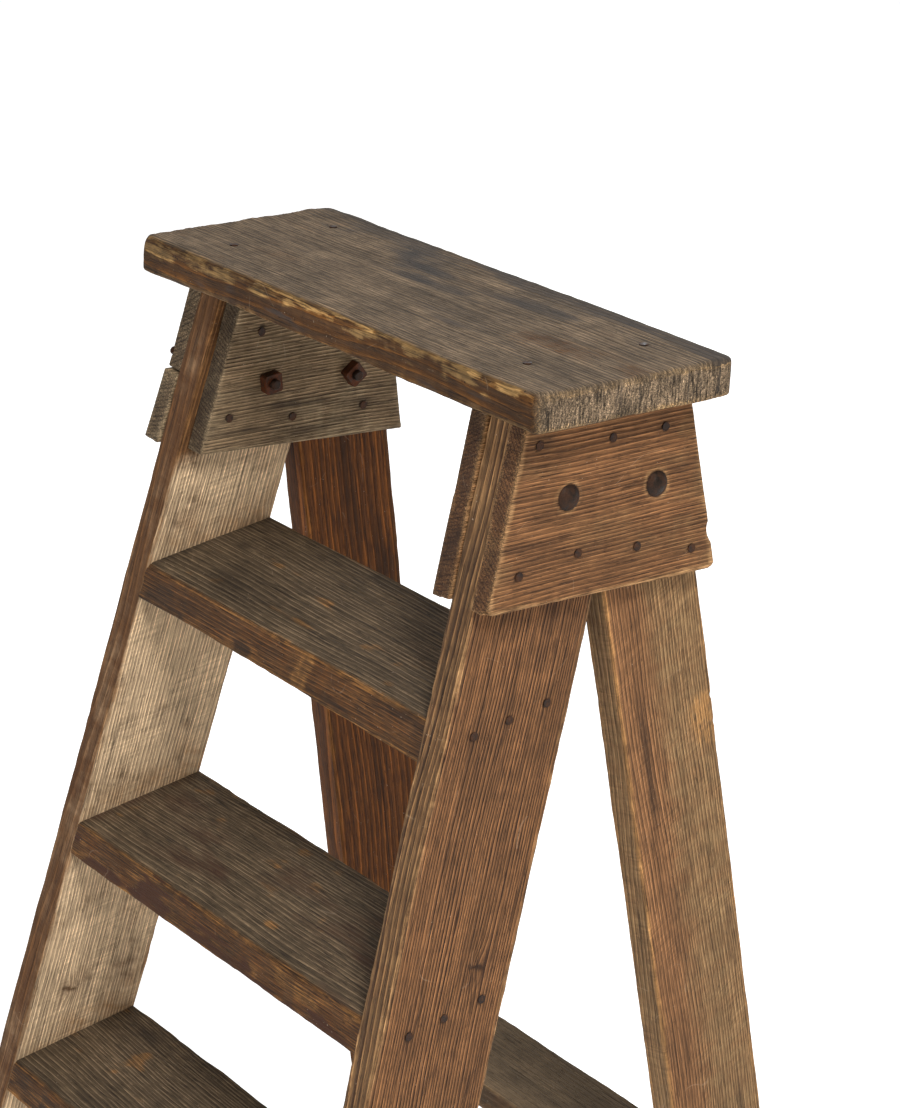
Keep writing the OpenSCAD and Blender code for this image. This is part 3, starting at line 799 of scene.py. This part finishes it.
def paint_cheek(outer):
    def paint(p, n, marks, seed):
        """Rough sawn end grain in front, dark streaks along the grain, worn lower edge, and darker end
        grain, darkest on the inner cheeks as painted shade.
        """
        low_edge = smooth(0.55, 0.95, -n[:, 1])
        lay(marks, WORN, 0.6 * low_edge)
        lay(marks, GRIME_AND_SHADE, 0.6 * smooth(0.25, 0.7, noise(p, (60, 7, 15), seed + 33, 2)))
        # End grain darkened; the extra darkening on the inner cheeks, between the stiles under the top
        # step, is painted shade.
        lay(marks, GRIME_AND_SHADE, (0.3 if outer else 0.62) * n[:, 0] ** 2)
        lay(marks, TONE, 0.55 * smooth(0.0, 0.6, noise(p, (50, 22, 15), seed + 34, 2)))

    return paint


def paint_tread(flaked, bare=None):
    """flaked is how much of the front edge has lost its skin; bare is where its arris is worn bare."""
    def paint(p, n, marks, seed):
        """Trodden top, browner front edge, ochre crumbs of worn wood, and painted shade at both ends where
        the tread is housed in the stiles.
        """
        front = smooth(0.3, 0.8, -n[:, 1])
        top = smooth(0.4, 0.9, n[:, 2])
        ochre = smooth(0.4, 0.6, noise(p, (26, 13, 9), seed + 41, 2))
        lay(marks, TONE, 0.9 * front)
        marks[:, WORN] = np.maximum(marks[:, WORN] * (1 - 0.6 * top), 0.6 * top * ochre)
        lay(marks, GRIME_AND_SHADE, 0.45 * top * smooth(0.0, 0.7, noise(p, (60, 16, 16), seed + 42, 3)))
        # Painted shade: both ends darkened where the tread meets the stiles.
        to_end = p[:, 0].max() - np.abs(p[:, 0])
        housed_shade = 1 - smooth(2, 26, to_end + 5 * noise(p, (12, 12, 12), seed + 46))
        lay(marks, GRIME_AND_SHADE, 0.5 * housed_shade * (1 - 0.5 * front))
        skin = smooth(-0.02, 0.08, noise(p, (44, 14, 10), seed + 43, 2) - 0.012 * p[:, 2] - 0.12)
        lay(marks, GRIME_AND_SHADE, front * skin * (0.35 + 0.5 * flaked))
        rubbed = smooth(-0.2, 0.5, noise(p, (30, 14, 7), seed + 44, 2))
        lay(marks, WORN, 0.6 * flaked * front * (1 - skin) * rubbed)
        if bare is not None:
            patch = 1 - smooth(4, 15, np.abs(p[:, 0] - bare) + 7 * noise(p, (9, 14, 8), seed + 45))
            lay(marks, WORN, 0.7 * front * patch)

    return paint


TREAD_WEAR = {"tread_1": (0.2, 40), "tread_2": (1, None), "tread_3": (0.5, -60), "tread_4": (0.4, 90)}


def make_boards():
    cap_nails = [(x, y - CAP_Y + Y_SHIFT, CAP_TH / 2) for x, y in CAP_NAILS]

    def cap_worn(p, seed):
        front_top = smooth(40, 96, -p[:, 1]) * smooth(-2, 12, p[:, 2])
        corner = smooth(262, 275, np.abs(p[:, 0])) * smooth(-6, 12, p[:, 2])
        nosing = front_top * (3.5 + 4 * noise(p, (48, 60, 60), seed + 11, 2))
        return nosing + corner * (2 + 3 * noise(p, (60, 5, 60), seed + 13))

    cap = board("top_step_board", (CAP_L, CAP_D, CAP_TH), Timber(3, 3.6, (210, -120), 0.2), cap_place,
                steps=(3.2, 1.7, 1.5), worn=4.2, soften=cap_worn, uneven=0.7, nails=cap_nails,
                paint=paint_cap, kerf=0.9, swell=lambda x: 2.5 * (1 - smooth(-270, -120, x)))
    dress(cap, wood_material("top_step_wood", *TOP, Seed=3.0, Rings=0.5, Fibre=1.4, Blotch=1.0, End=1.25,
                             Kerf=1.0, Holes=1.0), "top_step")

    wood = wood_material("right_stile_wood", *RED, Seed=11.0, Rings=1.1, Fibre=1.5)
    make_stile("right_stile_board", 1, Timber(11, 3.0, (-190, -60), 0.15, [(474, 24, 7)]), wood,
               paint_stile(False))
    wood = wood_material("left_stile_wood", *PALE, Seed=17.0, Saw=0.7, Blotch=0.35, Rings=0.5, Fibre=1.1)
    make_stile("left_stile_board", -1, Timber(17, 3.1, (170, 90), 0.15, [(236, 52, 8), (700, -20, 6)]),
               wood, paint_stile(True))
    wood = wood_material("right_leg_wood", *LEG, Seed=23.0, Rings=0.9, Saw=0.7, Blotch=0.35, Fibre=1.2)
    make_leg("right_leg_board", 1, Timber(23, 3.0, (-160, 80), 0.12), wood, paint_right_leg, LEG_CHIPS)
    wood = wood_material("left_leg_wood", *LEG_RED_SHADED, Seed=29.0, Blotch=0.3, Fibre=1.6, Rings=0.7)
    make_leg("left_leg_board", -1, Timber(29, 6.5, (150, 60), 0.25), wood, paint_left_leg)

    inside = CHEEK_TH + BOARD_TH
    cheeks = [("outer_right", "", 1, 0, 4, 154, 159, 0, 0, RED, Timber(31, 3.2, (120, 150), 0.15)),
              ("inner_right", "", 1, inside, 2, 154, 159, 0, 0, RED, Timber(37, 3.2, (160, -90), 0.15)),
              ("outer_left", "_upper", -1, 0, -3, 84, 84, 0, 0, GREY, Timber(41, 3.4, (140, 120), 0.2)),
              ("outer_left", "_lower", -1, 0, 0, 149, 155, 84.7, 4, GREY, Timber(42, 3.2, (150, 110), 0.2)),
              ("inner_left", "", -1, inside, -8, 143, 155, 0, 0, GREY, Timber(43, 3.1, (90, -60), 0.3))]
    for label, strip, side, x_out, forward, h_front, h_rear, start, kick, colours, timber in cheeks:
        length, height = 200.0, (h_front + h_rear) / 2 - start
        outer = x_out == 0
        place = cheek_place(side, x_out, forward, h_front, h_rear, length, height, start, kick)
        face = CHEEK_TH / 2 * (1 if outer else -1)

        def on_face(y, v):
            rear = leg_rear(v) - 1.7 + 3.2 * v / h_rear
            front = stile_front(v) - forward
            s = (y - front) / (rear - front)
            t = 1 - (v - start) / (h_front + (h_rear - h_front) * s - start)
            return (s - 0.5) * length, (t - 0.5) * height, face

        found = [on_face(y, v) for y, v in (OUTER_NAILS if outer else INNER_NAILS)[side]]
        bolts = [on_face(y, v) for y, v in BOLTS[side] if outer]
        piece = board("cheek_board_" + label + strip, (length, height, CHEEK_TH), timber, place,
                      steps=(2.2, 1.4, 1.5), worn=2.6, uneven=0.7, nails=found, bolts=bolts,
                      paint=paint_cheek(outer),
                      chips=CHEEK_CHIPS if label == "outer_right" else (), mirrored=side < 0)
        dress(piece, wood_material("cheek_wood_" + label + strip, *colours, Seed=float(timber.seed),
                                   Rings=0.75, Fibre=1.35),
              "cheek_" + label)

    for k, (name, drop) in enumerate(TREAD_DROP.items()):
        run = STILE_W / math.cos(LEAN) - 1
        length = high(name)[0] - low(name)[0]
        width, place = housed_place(drop, stile_rear(drop), run, TREAD_TH, SLOPE, LEAN, length)

        def tread_worn(p, seed):
            nosing = smooth(30, 64, -p[:, 1]) * smooth(-2, 12, p[:, 2])
            return nosing * (3 + 3.5 * noise(p, (60, 60, 60), seed + 12, 2))

        seed = 51 + 6 * k
        timber = Timber(seed, 3.4 if k == 0 else 2.5, (-130, -110 - 20 * k), 0.25)
        piece = board(name + "_board", (length, width, TREAD_TH), timber, place, steps=(3.0, 1.4, 1.5),
                      worn=2.2, soften=tread_worn, uneven=0.9, paint=paint_tread(*TREAD_WEAR[name]),
                      swell=(lambda x: 1 + 3.5 * smooth(-60, 190, x)) if name == "tread_1" else None)
        grime_and_shade = STEP_SKIN if name == "tread_2" else STEP[4]
        wood = wood_material(name + "_wood", *STEP[:4], grime_and_shade, Rings=0.55, Fibre=1.6, Seed=float(seed))
        dress(piece, wood, name)

    length = high("rear_plank")[0] - low("rear_plank")[0]
    run = LEG_W / math.cos(LEG_LEAN) - 1
    width, place = housed_place(PLANK_DROP, leg_rear(PLANK_DROP), run, PLANK_TH, 0, 0, length)
    piece = board("rear_plank_board", (length, width, PLANK_TH), Timber(83, 3.8, (140, 160), 0.15), place,
                  steps=(3.4, 1.6, 1.6), worn=2.4, uneven=0.6, paint=paint_tread(0))
    wood = wood_material("rear_plank_wood", *DECK, Seed=83.0, Rings=0.3, Fibre=0.6, Blotch=0.4, Holes=1.0)
    dress(piece, wood, "rear_plank")


make_boards()

# ---- fasteners --------------------------------------------------------------------------------

BOLT_IRON = iron_material("bolt_iron", srgb(35, 25, 18), srgb(63, 42, 29), 1.0)
NUT_IRON = iron_material("nut_iron", srgb(52, 30, 18), srgb(92, 50, 27), 2.0)
NAIL_IRON = iron_material("nail_iron", srgb(42, 30, 23), srgb(76, 50, 34), 3.0)
FASTENERS = {"carriage_bolts": BOLT_IRON, "square_nuts": NUT_IRON, "top_step_nails": NAIL_IRON,
             "cheek_nails_right": NAIL_IRON, "cheek_nails_left": NAIL_IRON,
             "tread_nails_right": NAIL_IRON, "tread_nails_left": NAIL_IRON, "rear_plank_nails": NAIL_IRON}
for name, material in FASTENERS.items():
    node = bpy.data.objects[name]
    node.data.materials.clear()
    node.data.materials.append(material)

# ---- stage, light and camera ------------------------------------------------------------------

FLOOR_REACH = 40.0                   # half its side, in metres
FLOOR_WHITE = 0.93
FLOOR_GLOW = 0.66                    # makes the lit floor plain white from the camera


def make_stage():
    mesh = bpy.data.meshes.new("studio_floor")
    corners = [(x * FLOOR_REACH, y * FLOOR_REACH, 0) for x, y in ((-1, -1), (1, -1), (1, 1), (-1, 1))]
    mesh.from_pydata(corners, [], [(0, 1, 2, 3)])
    floor = bpy.data.objects.new("studio_floor", mesh)
    bpy.context.scene.collection.objects.link(floor)
    material = bpy.data.materials.new("studio_floor_white")
    material.use_nodes = True
    shader = material.node_tree.nodes["Principled BSDF"]
    shader.inputs["Base Color"].default_value = (FLOOR_WHITE, FLOOR_WHITE, FLOOR_WHITE, 1)
    shader.inputs["Roughness"].default_value = 0.9
    shader.inputs["Specular IOR Level"].default_value = 0.0
    shader.inputs["Emission Color"].default_value = (1, 1, 1, 1)
    shader.inputs["Emission Strength"].default_value = FLOOR_GLOW
    mesh.materials.append(material)


def area_light(name, at, target, size, power):
    light = bpy.data.lights.new(name, "AREA")
    light.shape, light.size, light.energy = "DISK", size, power
    lamp = bpy.data.objects.new(name, light)
    lamp.location = at
    lamp.rotation_mode = "QUATERNION"
    lamp.rotation_quaternion = (Vector(target) - Vector(at)).to_track_quat("-Z", "Y")
    bpy.context.scene.collection.objects.link(lamp)


WORLD_TOP = 0.3                      # the walls of the studio are white, its ceiling is darker


def make_light():
    world = bpy.data.worlds.new("studio")
    bpy.context.scene.world = world
    world.use_nodes = True
    t = Tree(world.node_tree)
    look = t.node("ShaderNodeTexCoord").outputs["Generated"]
    up = t.node("ShaderNodeSeparateXYZ", {0: look}).outputs[2]
    level = t.ramp(up, 0.12, 0.42, 1.0, WORLD_TOP)
    grey = t.node("ShaderNodeCombineColor", {0: level, 1: level, 2: level}).outputs[0]
    t.put(world.node_tree.nodes["Background"].inputs[0], grey)
    area_light("key", (2.9, -1.1, 4.4), (0, 0, 0.9), 1.2, 160)
    area_light("fill", (0.4, -4.0, 3.4), (0, 0, 0.8), 2.4, 18)
    area_light("back", (-2.2, 3.4, 3.0), (0, 0, 0.7), 2.2, 45)


# The camera was fitted to the ladder's own edges in the photograph. It stands to the front right and
# above. The photograph is cut from the upper right of what a centred camera there would see, so the
# shift is up and to the right.
CAMERA_AT = (1.9646, -1.4911, 1.9223)
CAMERA_YAW, CAMERA_PITCH, CAMERA_ROLL = math.radians(52.59), math.radians(-22.75), math.radians(2.07)
CAMERA_LENS = 99.46
CAMERA_SENSOR = 36.0                 # along the picture's height, its longer side
CAMERA_SHIFT = (0.0594, 0.1110)


def make_camera():
    data = bpy.data.cameras.new("camera")
    data.lens, data.sensor_width = CAMERA_LENS, CAMERA_SENSOR
    data.shift_x, data.shift_y = CAMERA_SHIFT
    data.clip_start, data.clip_end = 0.05, 200.0
    camera = bpy.data.objects.new("camera", data)
    yaw, pitch, roll = CAMERA_YAW, CAMERA_PITCH, CAMERA_ROLL
    forward = Vector((-math.sin(yaw) * math.cos(pitch), math.cos(yaw) * math.cos(pitch), math.sin(pitch)))
    level = Vector((math.cos(yaw), math.sin(yaw), 0))
    upright = level.cross(forward)
    right = math.cos(roll) * level + math.sin(roll) * upright
    up = right.cross(forward)
    turn = Matrix((right, up, -forward)).transposed()
    camera.matrix_world = Matrix.Translation(CAMERA_AT) @ turn.to_4x4()
    bpy.context.scene.collection.objects.link(camera)
    bpy.context.scene.camera = camera


make_stage()
make_light()
make_camera()
bpy.context.scene.view_settings.view_transform = "Standard"
